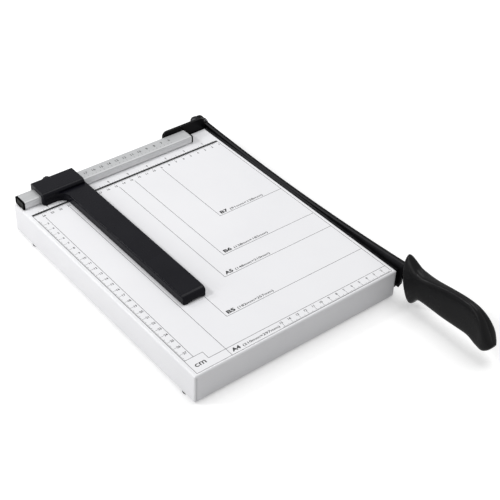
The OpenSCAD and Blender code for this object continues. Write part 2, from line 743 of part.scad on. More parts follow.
// Cubic curve through one column of the handle's stations
function slope(p, c, i) = let (a = max(i - 1, 0), b = min(i + 1, len(p) - 1))
    (p[b][c] - p[a][c]) / (p[b][0] - p[a][0]);
function span(p, s, i = 0) = i >= len(p) - 2 || s < p[i + 1][0] ? i : span(p, s, i + 1);
function curve(p, c, s) = let (i = span(p, s), h = p[i + 1][0] - p[i][0], t = (s - p[i][0]) / h)
    (2 * pow(t, 3) - 3 * pow(t, 2) + 1) * p[i][c]
    + (pow(t, 3) - 2 * pow(t, 2) + t) * h * slope(p, c, i)
    + (3 * pow(t, 2) - 2 * pow(t, 3)) * p[i + 1][c]
    + (pow(t, 3) - pow(t, 2)) * h * slope(p, c, i + 1);

// One ring of the handle at a share of its length, narrower at its crest than at its foot
function squared(v, e) = sign(v) * pow(abs(v), e);
function handle_ring(s) = let (
    crest = curve(handle_stations, 1, s),
    belly = curve(handle_stations, 2, s),
    half = curve(handle_stations, 3, s) * handle_w / 2,
    round_top = curve(handle_stations, 4, s),
    round_low = handle_square + butt_round * max(0, (s - butt_share) / (1 - butt_share)),
    taper = (1 - curve(handle_stations, 5, s)) / 2)
    [for (k = [0:handle_sides - 1]) let (
        a = 360 * k / handle_sides,
        e = sin(a) > 0 ? round_top : round_low,
        rise = squared(sin(a), e),
        x = handle_x + half * squared(cos(a), e) * (1 - taper * (1 + rise)),
        z = (crest + belly) / 2 + (crest - belly) / 2 * rise,
        lean = guard_lean * pow(max(0, 1 - s / guard_share), 2))
        [x, handle_y0 - handle_l * s + lean * z, handle_z + z]];

// Whole handle as one loft, closed at the guard and at the butt
module handle_loft() {
    n = handle_sides;
    points = [for (s = handle_shares) each handle_ring(s)];
    sides = [for (i = [0:handle_rings - 1], k = [0:n - 1]) let (a = i * n + k, b = i * n + (k + 1) % n)
        each [[a + n, b + n, b], [a + n, b, a]]];
    polyhedron(points, concat(sides, [[for (k = [0:n - 1]) k]],
        [[for (k = [n - 1:-1:0]) handle_rings * n + k]]));
}

// Half of the handle between two X planes, hollowed for the bar and its tang
module handle_half(x0, x1) difference() {
    intersection() {
        handle_loft();
        translate([x0, handle_y1 - 1, 0]) cube([x1 - x0, handle_l + 2, 2 * table_z]);
    }
    along_x(bar_x0 - run_gap, bar_t + 2 * run_gap) bar_outline(run_gap);
    hole = handle_x - handle_screw_l - handle_hole_spare;
    for (y = handle_screw_ys) {
        rod_x([hole, y, tang_mid_z], handle_screw_r + seat_gap, handle_w);
        rod_x([handle_seat_x, y, tang_mid_z], handle_head_r + run_gap, handle_w);
    }
}

module handle_left() color("#202022") placed() handle_half(handle_x - handle_w, handle_x);

module handle_right() color("#202022") placed() handle_half(handle_x, handle_x + handle_w);

module handle_screws() color("#3a3a3c") placed() for (y = handle_screw_ys) {
    tip = handle_x - handle_screw_l;
    rod_x([tip, y, tang_mid_z], handle_screw_r, handle_seat_x - tip + eps);
    rod_x([handle_seat_x, y, tang_mid_z], handle_head_r, handle_head_t);
}

// Stop: a rubber sleeve on a screw in the right wall, under the blade's front end
module stop_sleeve() color("#1c1c1c") placed() difference() {
    rod_x([right_x, stop_y, stop_z], stop_r, stop_l);
    rod_x([right_x - 1, stop_y, stop_z], m4_r + seat_gap, stop_l + 2);
}

module stop_screw() color("silver") placed() {
    tail = right_x - sheet_t - m4_nut_t - screw_tail;
    rod_x([tail, stop_y, stop_z], m4_r, right_x + stop_l - tail + eps);
    rod_x([right_x + stop_l, stop_y, stop_z], stop_r, m4_head_t);
}

module stop_nut() color("silver") placed()
    nut_x([right_x - sheet_t - m4_nut_t, stop_y, stop_z], m4_nut_r, m4_nut_t, m4_r + seat_gap);

base_pan();
rubber_feet();
bed_knife();
bed_screws();
bed_nuts();
rail();
rail_cap_left();
rail_cap_right();
rail_screws();
paper_guide();
guide_insert();
lock_screw();
pivot_bracket();
bracket_bolts();
bracket_nuts();
pivot_bolt();
pivot_bush();
outer_washer();
spring_washer();
pivot_nut();
arm_bar();
blade();
blade_rivets();
handle_left();
handle_right();
handle_screws();
stop_sleeve();
stop_screw();
stop_nut();
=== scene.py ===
# Guillotine paper trimmer: finishes, printed scales, smooth mouldings and small fasteners
import math

import bmesh
import bpy
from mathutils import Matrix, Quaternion, Vector


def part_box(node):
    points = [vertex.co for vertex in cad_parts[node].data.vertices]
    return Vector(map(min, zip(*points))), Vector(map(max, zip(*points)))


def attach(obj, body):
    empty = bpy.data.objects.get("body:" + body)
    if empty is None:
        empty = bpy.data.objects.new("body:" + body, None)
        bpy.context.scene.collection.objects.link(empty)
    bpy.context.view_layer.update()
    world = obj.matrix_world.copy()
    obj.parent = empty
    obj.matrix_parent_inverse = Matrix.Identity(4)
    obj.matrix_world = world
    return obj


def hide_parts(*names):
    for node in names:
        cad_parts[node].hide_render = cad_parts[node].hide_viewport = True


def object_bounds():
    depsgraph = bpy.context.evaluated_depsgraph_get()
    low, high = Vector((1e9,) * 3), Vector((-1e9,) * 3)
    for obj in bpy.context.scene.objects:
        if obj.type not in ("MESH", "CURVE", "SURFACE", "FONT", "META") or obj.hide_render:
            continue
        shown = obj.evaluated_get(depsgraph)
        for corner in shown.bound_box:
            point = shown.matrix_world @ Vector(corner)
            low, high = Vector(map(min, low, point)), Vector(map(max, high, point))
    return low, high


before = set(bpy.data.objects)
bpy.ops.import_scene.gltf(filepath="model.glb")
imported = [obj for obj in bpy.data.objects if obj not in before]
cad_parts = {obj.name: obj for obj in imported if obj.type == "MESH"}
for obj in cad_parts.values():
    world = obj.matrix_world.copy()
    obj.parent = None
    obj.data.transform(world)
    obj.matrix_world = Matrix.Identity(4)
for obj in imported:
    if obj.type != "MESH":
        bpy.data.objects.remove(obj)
cad_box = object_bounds()

MM = 0.001
INCH = 25.4 * MM
X_AXIS = Vector((1, 0, 0))
Y_AXIS = Vector((0, 1, 0))
Z_AXIS = Vector((0, 0, 1))

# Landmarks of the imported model
base_low, base_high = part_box("base_pan")
rail_low, rail_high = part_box("rail")
bar_low, bar_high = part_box("arm_bar")
handle_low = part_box("handle_left")[0]
TABLE_Z = base_high.z
FENCE_Y = rail_low.y
CUT_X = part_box("bed_knife")[1].x

# Arc of the blade: its centre lies far above the table
CURVE_RADIUS = 2450 * MM
CURVE_FRONT = 202.5 * MM
BLADE_HEIGHT = 31 * MM
BEVEL_HEIGHT = 6 * MM
curve_centre = Vector((0, base_low.y + CURVE_FRONT, TABLE_Z + CURVE_RADIUS))


# Node helpers

def add(tree, kind, inputs=None, **settings):
    """Adds a shader node, sets its options and fills or links its inputs."""
    node = tree.nodes.new("ShaderNode" + kind)
    for name, value in settings.items():
        setattr(node, name, value)
    for name, value in (inputs or {}).items():
        if isinstance(value, bpy.types.NodeSocket):
            tree.links.new(value, node.inputs[name])
        else:
            node.inputs[name].default_value = value
    return node


def new_material(name, inputs):
    """A Principled material with its constant inputs set on the shader itself."""
    material = bpy.data.materials.new(name)
    material.use_nodes = True
    tree = material.node_tree
    shader = tree.nodes["Principled BSDF"]
    for socket, value in inputs.items():
        shader.inputs[socket].default_value = value
    return material, tree, shader


def own_place(tree):
    """Position on the piece in metres, which goes with the piece when it moves."""
    return add(tree, "TexCoord").outputs["Object"]


def noise(tree, scale, detail=2.0, stretch=(1, 1, 1)):
    """Noise with a number of features per metre, stretched along an axis by a small factor there."""
    mapped = add(tree, "Mapping", {"Vector": own_place(tree), "Scale": stretch})
    place = {"Vector": mapped.outputs["Vector"], "Scale": scale, "Detail": detail}
    return add(tree, "TexNoise", place).outputs["Fac"]


def ramp(tree, value, stops):
    """Colours along a value, given as pairs of position and linear colour."""
    node = add(tree, "ValToRGB", {"Fac": value})
    elements = node.color_ramp.elements
    while len(elements) < len(stops):
        elements.new(1.0)
    for element, (position, colour) in zip(elements, stops):
        element.position = position
        element.color = (*colour, 1)
    return node.outputs["Color"]


def spread(tree, value, low, high):
    """Maps the middle of a noise's range onto a range of values."""
    limits = {"Value": value, "From Min": 0.3, "From Max": 0.7, "To Min": low, "To Max": high}
    return add(tree, "MapRange", limits).outputs["Result"]


def slope(tree, value, low, high):
    """0 below a low value, 1 above a high one, and a straight slope between them."""
    return add(tree, "MapRange", {"Value": value, "From Min": low, "From Max": high}).outputs["Result"]


def number_math(tree, operation, first, second):
    """Result of an operation on two numbers."""
    return add(tree, "Math", {0: first, 1: second}, operation=operation).outputs["Value"]


def vector_math(tree, operation, first, second=(0, 0, 0)):
    """Outputs of an operation on one or two vectors: Vector, or Value for a length."""
    return add(tree, "VectorMath", {0: first, 1: second}, operation=operation).outputs


def facing(tree, axis):
    """How far a surface faces along an axis of its piece, from -1 to 1."""
    return add(tree, "SeparateXYZ", {0: add(tree, "TexCoord").outputs["Normal"]}).outputs[axis]


def mixed(tree, share, first, second):
    """Colour between two others."""
    return add(tree, "MixRGB", {"Fac": share, "Color1": first, "Color2": second}).outputs["Color"]


def bump(tree, height, distance, strength=1.0):
    """Normal of a surface with fine relief, at most a distance deep."""
    inputs = {"Height": height, "Distance": distance, "Strength": strength}
    return add(tree, "Bump", inputs).outputs["Normal"]


def connect(tree, shader, colour, roughness, normal=None):
    """Links a material's colour, roughness and relief to its shader."""
    tree.links.new(colour, shader.inputs["Base Color"])
    tree.links.new(roughness, shader.inputs["Roughness"])
    if normal is not None:
        tree.links.new(normal, shader.inputs["Normal"])


def grey(value):
    """Neutral linear colour."""
    return (value, value, value)


# Materials

def powder_coat():
    """White powder coat: a faint orange peel and a slightly cool white."""
    material, tree, shader = new_material("white_powder_coat", {"Specular IOR Level": 0.45})
    cloud = noise(tree, 14, 3)
    peel = noise(tree, 900, 2)
    colour = ramp(tree, cloud, [(0.3, (0.775, 0.775, 0.795)), (0.7, (0.8, 0.8, 0.818))])
    connect(tree, shader, colour, spread(tree, peel, 0.4, 0.5), bump(tree, peel, 0.012 * MM))
    return material


def printing_ink(name, dark, light):
    """Screen-printed ink, thinner in places."""
    material, tree, shader = new_material(name, {"Specular IOR Level": 0.3})
    cover = noise(tree, 1500, 3)
    colour = ramp(tree, cover, [(0.35, grey(dark)), (0.7, grey(light))])
    connect(tree, shader, colour, spread(tree, cover, 0.5, 0.65))
    return material


def moulded_plastic(name, dark, light, rough):
    """Black moulded plastic with a fine spark-eroded grain."""
    material, tree, shader = new_material(name, {"Specular IOR Level": 0.09})
    grain = noise(tree, 2600, 2)
    cloud = noise(tree, 40, 4)
    colour = ramp(tree, cloud, [(0.3, dark), (0.7, light)])
    roughness = spread(tree, cloud, rough - 0.04, rough + 0.04)
    connect(tree, shader, colour, roughness, bump(tree, grain, 0.02 * MM, 0.6))
    return material


def cap_plastic(half_depth, half_height):
    """Dead black moulded plastic; a sunken panel in the cap's end is coloured slightly paler as a painted
    reflection, and is shinier.
    """
    material, tree, shader = new_material("cap_plastic", {})
    middle = (rail_low + rail_high) / 2
    from_middle = vector_math(tree, "SUBTRACT", own_place(tree), middle)["Vector"]
    away = vector_math(tree, "ABSOLUTE", from_middle)["Vector"]
    parts = add(tree, "SeparateXYZ", {0: away}).outputs
    in_depth = number_math(tree, "LESS_THAN", parts["Y"], half_depth)
    in_height = number_math(tree, "LESS_THAN", parts["Z"], half_height)
    panel = number_math(tree, "MULTIPLY", in_depth, in_height)
    cloud = noise(tree, 300, 3)
    rim = ramp(tree, cloud, [(0.3, grey(0.0012)), (0.7, grey(0.002))])
    # painted reflection: the panel's paler colour
    inner = ramp(tree, cloud, [(0.3, grey(0.009)), (0.7, grey(0.014))])
    connect(tree, shader, mixed(tree, panel, rim, inner), spread(tree, cloud, 0.46, 0.54))
    shine = add(tree, "MapRange", {"Value": panel, "To Min": 0.01, "To Max": 0.08}).outputs["Result"]
    tree.links.new(shine, shader.inputs["Specular IOR Level"])
    return material


def black_paint():
    """Satin black enamel on steel, with a light orange peel and a few dull patches."""
    material, tree, shader = new_material("black_paint", {"Specular IOR Level": 0.06})
    peel = noise(tree, 700, 2)
    patches = noise(tree, 60, 5)
    colour = ramp(tree, patches, [(0.3, (0.003, 0.003, 0.0034)), (0.75, (0.0055, 0.0055, 0.006))])
    connect(tree, shader, colour, spread(tree, patches, 0.24, 0.34), bump(tree, peel, 0.012 * MM, 0.5))
    return material


def brushed_aluminium():
    """Anodised extrusion with draw lines along its length; its upper face is coloured darker than its
    sides as painted shade.
    """
    material, tree, shader = new_material("aluminium", {"Metallic": 1.0})
    lines = noise(tree, 2200, 4, (0.004, 1, 1))
    cloud = noise(tree, 30, 3)
    drawn = ramp(tree, lines, [(0.3, (0.57, 0.575, 0.58)), (0.7, (0.66, 0.665, 0.67))])
    # painted shade: the upper face gets a darker copy of the sides' colour
    painted_top_shade = ramp(tree, lines, [(0.3, (0.38, 0.385, 0.39)), (0.7, (0.47, 0.475, 0.48))])
    # how far the face turns upwards, which sets the share of painted shade
    upper = slope(tree, facing(tree, "Z"), 0.1, 0.5)
    colour = mixed(tree, upper, drawn, painted_top_shade)
    connect(tree, shader, colour, spread(tree, cloud, 0.6, 0.68), bump(tree, lines, 0.008 * MM, 0.6))
    return material


def tool_steel():
    """Blackened blade steel, ground bright along the bevel of the cutting edge."""
    material, tree, shader = new_material("tool_steel", {"Metallic": 1.0})
    from_centre = vector_math(tree, "SUBTRACT", own_place(tree), curve_centre)["Vector"]
    in_plane = vector_math(tree, "MULTIPLY", from_centre, (0, 1, 1))["Vector"]
    radius = vector_math(tree, "LENGTH", in_plane)["Value"]
    edge = CURVE_RADIUS + BLADE_HEIGHT
    in_bevel = slope(tree, radius, edge - BEVEL_HEIGHT, edge - 0.94 * BEVEL_HEIGHT)
    outside = slope(tree, facing(tree, "X"), 0.1, 0.15)
    ground = number_math(tree, "MULTIPLY", in_bevel, outside)
    scratches = noise(tree, 1800, 4, (1, 1, 0.02))
    cloud = noise(tree, 50, 4)
    dark = ramp(tree, cloud, [(0.3, (0.014, 0.014, 0.0155)), (0.7, (0.023, 0.023, 0.025))])
    bright = ramp(tree, scratches, [(0.3, (0.42, 0.43, 0.44)), (0.7, (0.62, 0.63, 0.64))])
    colour = mixed(tree, ground, dark, bright)
    roughness = spread(tree, scratches, 0.34, 0.46)
    connect(tree, shader, colour, roughness, bump(tree, scratches, 0.006 * MM, 0.5))
    return material


def plated_steel(name, dark, light, rough):
    """Turned and plated steel: fine streaks and a cloudy passivation."""
    material, tree, shader = new_material(name, {"Metallic": 1.0})
    cloud = noise(tree, 220, 4)
    fine = noise(tree, 3000, 2)
    colour = ramp(tree, cloud, [(0.3, dark), (0.7, light)])
    roughness = spread(tree, cloud, rough - 0.06, rough + 0.06)
    connect(tree, shader, colour, roughness, bump(tree, fine, 0.006 * MM, 0.5))
    return material


def rubber():
    """Dull black rubber with a dusty, slightly rough skin."""
    material, tree, shader = new_material("black_rubber", {"Specular IOR Level": 0.3})
    skin = noise(tree, 1400, 3)
    dust = noise(tree, 120, 5)
    colour = ramp(tree, dust, [(0.35, grey(0.012)), (0.75, grey(0.026))])
    connect(tree, shader, colour, spread(tree, dust, 0.72, 0.88), bump(tree, skin, 0.03 * MM, 0.6))
    return material


WHITE = powder_coat()
INK = printing_ink("table_ink", 0.006, 0.016)
GUIDE_PLASTIC = moulded_plastic("guide_plastic", (0.0037, 0.0037, 0.0062), (0.005, 0.005, 0.0077), 0.28)
HANDLE_PLASTIC = moulded_plastic("handle_plastic", (0.0075, 0.0075, 0.008), (0.0095, 0.0095, 0.01), 0.26)
CAP_PLASTIC = cap_plastic(half_depth=7 * MM, half_height=3.1 * MM)
PAINT = black_paint()
ALUMINIUM = brushed_aluminium()
STEEL = tool_steel()
KNIFE_STEEL = plated_steel("knife_steel", (0.013, 0.013, 0.0145), (0.021, 0.021, 0.023), 0.4)
ZINC = plated_steel("zinc_steel", (0.5, 0.51, 0.53), (0.63, 0.64, 0.65), 0.32)
BLACK_ZINC = plated_steel("black_zinc_steel", (0.05, 0.05, 0.054), (0.085, 0.085, 0.09), 0.36)
BRONZE = plated_steel("bronze", (0.45, 0.3, 0.13), (0.58, 0.4, 0.19), 0.34)
RUBBER = rubber()

NODE_MATERIALS = {
    WHITE: ["base_pan"],
    ALUMINIUM: ["rail"],
    CAP_PLASTIC: ["rail_cap_left", "rail_cap_right"],
    GUIDE_PLASTIC: ["paper_guide", "lock_screw"],
    HANDLE_PLASTIC: ["handle_left", "handle_right"],
    PAINT: ["pivot_bracket", "arm_bar"],
    STEEL: ["blade"],
    KNIFE_STEEL: ["bed_knife"],
    BLACK_ZINC: ["bracket_bolts", "pivot_bolt", "blade_rivets", "handle_screws", "stop_screw",
                 "outer_washer", "spring_washer", "pivot_nut"],
    ZINC: ["bed_screws", "bed_nuts", "rail_screws", "bracket_nuts", "stop_nut"],
    BRONZE: ["pivot_bush", "guide_insert"],
    RUBBER: ["rubber_feet", "stop_sleeve"],
}
for finish, names in NODE_MATERIALS.items():
    for name in names:
        for node_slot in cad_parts[name].material_slots:
            node_slot.material = finish


# Printed table

INK_DEPTH = 0.01 * MM
INK_HEIGHT = 0.03 * MM
RULE_WIDTH = 0.42 * MM
TICK_WIDTH = 0.28 * MM
DIGIT = 2.8 * MM
DIGIT_BOLD = 0.02
# Height of a capital as a share of the built-in font's size
CAP_SHARE = 0.729


def new_object(name, data):
    """Object in the scene with a given mesh, curve, lamp or camera."""
    item = bpy.data.objects.new(name, data)
    bpy.context.scene.collection.objects.link(item)
    return item


def evaluated_mesh(holder):
    """Mesh of an object as its curve or modifiers make it."""
    return bpy.data.meshes.new_from_object(holder.evaluated_get(bpy.context.evaluated_depsgraph_get()))


class Print:
    """Flat ink on one horizontal face: bars and letters a few hundredths of a millimetre thick."""

    def __init__(self, level):
        self.mesh = bmesh.new()
        self.low = level - INK_DEPTH
        self.high = level + INK_HEIGHT

    def bar(self, x0, y0, x1, y1):
        """Filled rectangle between two corners."""
        corners = [(x0, y0), (x1, y0), (x1, y1), (x0, y1)]
        low = [self.mesh.verts.new((x, y, self.low)) for x, y in corners]
        high = [self.mesh.verts.new((x, y, self.high)) for x, y in corners]
        self.mesh.faces.new(high)
        self.mesh.faces.new(low[::-1])
        for i in range(4):
            j = (i + 1) % 4
            self.mesh.faces.new((low[i], low[j], high[j], high[i]))

    def line(self, start, end, width):
        """Line along X or along Y."""
        half = width / 2
        (x0, y0), (x1, y1) = sorted([start, end])
        if x0 == x1:
            self.bar(x0 - half, min(y0, y1), x0 + half, max(y0, y1))
        else:
            self.bar(x0, y0 - half, x1, y0 + half)

    def text(self, words, place, height, width=None, bold=0.0, centre=True):
        """Words at a place, with a height of capitals and, where given, a total width."""
        curve = bpy.data.curves.new("words", "FONT")
        curve.body = words
        curve.extrude = 0.5
        curve.offset = bold
        curve.resolution_u = 3
        holder = new_object("words", curve)
        solid = evaluated_mesh(holder)
        bpy.data.objects.remove(holder)
        bpy.data.curves.remove(curve)
        xs = [v.co.x for v in solid.vertices]
        scale_y = height / CAP_SHARE
        scale_x = width / (max(xs) - min(xs)) if width else scale_y
        shift_x = (max(xs) + min(xs)) / 2 if centre else min(xs)
        shift_y = CAP_SHARE / 2 if centre else 0
        for v in solid.vertices:
            v.co = (place[0] + (v.co.x - shift_x) * scale_x,
                    place[1] + (v.co.y - shift_y) * scale_y,
                    self.high if v.co.z > 0 else self.low)
        self.mesh.from_mesh(solid)
        bpy.data.meshes.remove(solid)

    def number(self, value, place):
        """Number of a scale, centred on a place."""
        self.text(str(value), place, DIGIT, bold=DIGIT_BOLD)


def make_piece(name, mesh, material, body, sharp_angle=None):
    """Turns an edited mesh into a piece that rides on a body."""
    bmesh.ops.remove_doubles(mesh, verts=mesh.verts, dist=1e-7)
    bmesh.ops.recalc_face_normals(mesh, faces=mesh.faces)
    data = bpy.data.meshes.new(name)
    mesh.to_mesh(data)
    mesh.free()
    data.materials.append(material)
    if sharp_angle is not None:
        data.shade_smooth()
        data.set_sharp_from_angle(angle=math.radians(sharp_angle))
    piece = new_object(name, data)
    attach(piece, body)
    return piece


# Places of the print, measured from the fence, the cutting edge and the table's right edge
FENCE_LINE = 12.8 * MM
FENCE_LINE_WIDTH = 2.8 * MM
LEFT_RULE_OUT = base_high.x - 247.2 * MM
LEFT_RULE_IN = base_high.x - 237 * MM
RIGHT_RULE = base_high.x - 4.8 * MM
FRONT_RULE_OUT = FENCE_Y - 301.5 * MM
FRONT_RULE_IN = FENCE_Y - 291.4 * MM
SCALE_FRONT = FENCE_Y - 22.5 * MM
CORNER_RIGHT = base_high.x - 226.6 * MM
CORNER_BACK = FENCE_Y - 282 * MM
UNIT_HEIGHT = 6.2 * MM
UNIT_WIDTH = 12 * MM
UNIT_BOLD = 0.012

# Scales: the lengths of the ticks at each millimetre, at fives and at tens, and those of the inch scale
BACK_STEPS = range(10, 250)
BACK_TICKS = (1.4 * MM, 2 * MM, 2.6 * MM)
BACK_DIGITS_Y = FENCE_Y - 19.6 * MM
INCH_EIGHTHS = range(4, 78)
INCH_TICKS = {0: 3 * MM, 4: 2.4 * MM, 2: 1.9 * MM, 6: 1.9 * MM}
EIGHTH_TICK = 1.4 * MM
INCH_DIGITS_Y = FENCE_Y - 7 * MM
LEFT_SCALE_START = FENCE_Y - 3.3 * MM
LEFT_STEPS = range(22, 279)
FRONT_SCALE_START = CUT_X + 3.9 * MM
FRONT_STEPS = range(9, 200)
SCALE_TICKS = (1.3 * MM, 2.2 * MM, 5.2 * MM)
DIGIT_FROM_RULE = 7 * MM
SCALE_GAP = 2 * MM
RAIL_STEPS = range(60, 215, 5)
RAIL_TICKS = (0, 1.3 * MM, 2 * MM)
RAIL_TICKS_Y = FENCE_Y + 2.8 * MM
RAIL_DIGITS_Y = FENCE_Y + 9.4 * MM
RAIL_DIGIT = 3.6 * MM
RAIL_DIGIT_BOLD = 0.012

# Paper formats in millimetres, with their names and sizes
FORMATS = {"B7": (91, 128), "B6": (128, 182), "A5": (148, 210), "B5": (182, 257), "A4": (210, 297)}
LABEL = 4.4 * MM
LABEL_WIDTH = 9.4 * MM
LABEL_BOLD = 0.04
LABEL_IN = 3.4 * MM
LABEL_RISE = 2.2 * MM
FRONT_LABEL_RISE = 3 * MM
SIZE_TEXT = 2.9 * MM
SIZE_TEXT_WIDTH = 44 * MM
SIZE_TEXT_BOLD = 0.015
SIZE_TEXT_IN = 15.6 * MM


def tick_length(step, lengths):
    """Length of a tick at a number of millimetres: longest at each ten, middling at each five."""
    if step % 10 == 0:
        return lengths[2]
    return lengths[1] if step % 5 == 0 else lengths[0]


def print_back_scales(ink):
    """Thick line in front of the fence, with inches behind it and centimetres in front."""
    y = FENCE_Y - FENCE_LINE
    ink.line((LEFT_RULE_OUT, y), (RIGHT_RULE + RULE_WIDTH / 2, y), FENCE_LINE_WIDTH)
    front = y - FENCE_LINE_WIDTH / 2
    back = y + FENCE_LINE_WIDTH / 2
    for step in BACK_STEPS:
        x = CUT_X - step * MM
        if LEFT_RULE_OUT < x < RIGHT_RULE:
            ink.line((x, front), (x, front - tick_length(step, BACK_TICKS)), TICK_WIDTH)
            if step % 10 == 0:
                ink.number(step // 10, (x, BACK_DIGITS_Y))
    for step in INCH_EIGHTHS:
        x = CUT_X - step * INCH / 8
        if LEFT_RULE_OUT < x < RIGHT_RULE:
            ink.line((x, back), (x, back + INCH_TICKS.get(step % 8, EIGHTH_TICK)), TICK_WIDTH)
            if step % 8 == 0:
                ink.number(step // 8, (x, INCH_DIGITS_Y))


def print_left_scale(ink):
    """Band with a centimetre scale along the left side."""
    ink.line((LEFT_RULE_OUT, FENCE_Y - FENCE_LINE), (LEFT_RULE_OUT, CORNER_BACK), RULE_WIDTH)
    ink.line((LEFT_RULE_IN, SCALE_FRONT), (LEFT_RULE_IN, CORNER_BACK), RULE_WIDTH)
    for step in LEFT_STEPS:
        y = LEFT_SCALE_START - step * MM
        tick_end = LEFT_RULE_OUT + tick_length(step, SCALE_TICKS)
        ink.line((LEFT_RULE_OUT, y), (tick_end, y), TICK_WIDTH)
        if step % 10 == 0:
            ink.number(step // 10, (LEFT_RULE_OUT + DIGIT_FROM_RULE, y))


def print_front_scale(ink):
    """Band with a centimetre scale along the front, and the rule along the right edge."""
    label_end = CUT_X - FORMATS["A4"][0] * MM + SIZE_TEXT_IN + SIZE_TEXT_WIDTH + SCALE_GAP
    ink.line((CORNER_RIGHT, FRONT_RULE_IN), (RIGHT_RULE, FRONT_RULE_IN), RULE_WIDTH)
    ink.line((LEFT_RULE_OUT, FRONT_RULE_OUT), (RIGHT_RULE, FRONT_RULE_OUT), RULE_WIDTH)
    ink.line((RIGHT_RULE, FENCE_Y - FENCE_LINE), (RIGHT_RULE, FRONT_RULE_OUT), RULE_WIDTH)
    for step in FRONT_STEPS:
        x = FRONT_SCALE_START - step * MM
        if label_end < x < RIGHT_RULE - SCALE_GAP:
            tick_end = FRONT_RULE_OUT + tick_length(step, SCALE_TICKS)
            ink.line((x, FRONT_RULE_OUT), (x, tick_end), TICK_WIDTH)
            if step % 10 == 0:
                ink.number(step // 10, (x, FRONT_RULE_OUT + DIGIT_FROM_RULE))


def print_corner(ink):
    """Plain cell where the two bands meet, with their unit."""
    ink.line((LEFT_RULE_OUT, CORNER_BACK), (LEFT_RULE_OUT, FRONT_RULE_OUT), RULE_WIDTH)
    ink.line((LEFT_RULE_OUT, CORNER_BACK), (CORNER_RIGHT, CORNER_BACK), RULE_WIDTH)
    ink.line((CORNER_RIGHT, CORNER_BACK), (CORNER_RIGHT, FRONT_RULE_IN), RULE_WIDTH)
    middle = ((LEFT_RULE_OUT + CORNER_RIGHT) / 2, (CORNER_BACK + FRONT_RULE_OUT) / 2)
    ink.text("cm", middle, UNIT_HEIGHT, width=UNIT_WIDTH, bold=UNIT_BOLD)


def print_formats(ink):
    """Outlines and labels of the paper formats, from the cutting edge and the fence."""
    for name, (width, length) in FORMATS.items():
        x = CUT_X - width * MM
        y = FENCE_Y - length * MM
        at_front = name == "A4"
        ink.line((x, SCALE_FRONT), (x, FRONT_RULE_OUT if at_front else y), RULE_WIDTH)
        if not at_front:
            ink.line((x, y), (RIGHT_RULE, y), RULE_WIDTH)
        base = FRONT_RULE_OUT + FRONT_LABEL_RISE if at_front else y + LABEL_RISE
        ink.text(name, (x + LABEL_IN, base), LABEL, LABEL_WIDTH, LABEL_BOLD, centre=False)
        size = "(%dmm×%dmm)" % (width, length)
        ink.text(size, (x + SIZE_TEXT_IN, base), SIZE_TEXT, SIZE_TEXT_WIDTH, SIZE_TEXT_BOLD, centre=False)


def print_rail(ink):
    """Plain centimetre scale on the rail over the guide's travel."""
    for step in RAIL_STEPS:
        x = CUT_X - step * MM
        ink.line((x, RAIL_TICKS_Y), (x, RAIL_TICKS_Y + tick_length(step, RAIL_TICKS)), TICK_WIDTH)
        if step % 10 == 0:
            ink.text(str(step // 10), (x, RAIL_DIGITS_Y), RAIL_DIGIT, bold=RAIL_DIGIT_BOLD)


table_ink = Print(TABLE_Z)
for draw in (print_back_scales, print_left_scale, print_front_scale, print_corner, print_formats):
    draw(table_ink)
make_piece("table_print", table_ink.mesh, INK, "base")
rail_ink = Print(rail_high.z)
print_rail(rail_ink)
make_piece("rail_print", rail_ink.mesh, INK, "base")


# Handle

# Share of the length, crest and belly over the datum in millimetres, share of the half thickness,
# how round the upper half of the section is, and share of the thickness left at the crest
HANDLE_STATIONS = [
    (0, 14.6, -5.4, 0.5, 1.2, 1),
    (0.012, 20.4, -10.9, 0.74, 1.25, 1),
    (0.03, 22.5, -16.9, 0.94, 1.2, 0.95),
    (0.065, 20.2, -25.7, 1.04, 1, 0.88),
    (0.1, 16.6, -29.5, 1.06, 0.8, 0.84),
    (0.13, 13.8, -28.8, 1.06, 0.65, 0.82),
    (0.16, 12.4, -24.9, 1.065, 0.56, 0.8),
    (0.19, 11.8, -20.2, 1.065, 0.5, 0.78),
    (0.225, 11.6, -17.7, 1.065, 0.47, 0.73),
    (0.335, 13.4, -17.3, 1.065, 0.45, 0.55),
    (0.5, 16.9, -17.6, 1.065, 0.45, 0.45),
    (0.65, 18.7, -16.5, 1.065, 0.45, 0.46),
    (0.77, 17.6, -16, 1.065, 0.45, 0.53),
    (0.86, 11.6, -19.8, 1.05, 0.45, 0.74),
    (0.93, 1.8, -22.1, 1, 0.5, 0.96),
    (0.975, -6.6, -18.4, 0.75, 0.65, 1),
    (1, -11, -13.8, 0.42, 0.9, 1),
]
# Power of the section's lower half, how much it grows to the butt, and the share where that starts
HANDLE_SQUARE = 0.55
BUTT_ROUND = 0.35
BUTT_SHARE = 0.86
# Half thickness, gap to the base, height of the datum over the screws, and the guard's forward lean
HANDLE_HALF = 9.4 * MM
HANDLE_GAP = 6.6 * MM
HANDLE_RISE = 1.1 * MM
GUARD_LEAN = 0.15
GUARD_SHARE = 0.25
HANDLE_RINGS = 110
HALF_SIDES = 36
SEAM_HALF = 0.12 * MM
SEAM_DEPTH = 0.1 * MM
SCREW_BORE = 3.45 * MM
screw_low, screw_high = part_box("handle_screws")
handle_x = (bar_low.x + bar_high.x) / 2
handle_y0 = base_low.y - HANDLE_GAP
handle_length = handle_y0 - handle_low.y
handle_z = (screw_low.z + screw_high.z) / 2 + HANDLE_RISE


def station_slope(column, i):
    """Slope of one column at a station, from its neighbours."""
    before = HANDLE_STATIONS[max(i - 1, 0)]
    after = HANDLE_STATIONS[min(i + 1, len(HANDLE_STATIONS) - 1)]
    return (after[column] - before[column]) / (after[0] - before[0])


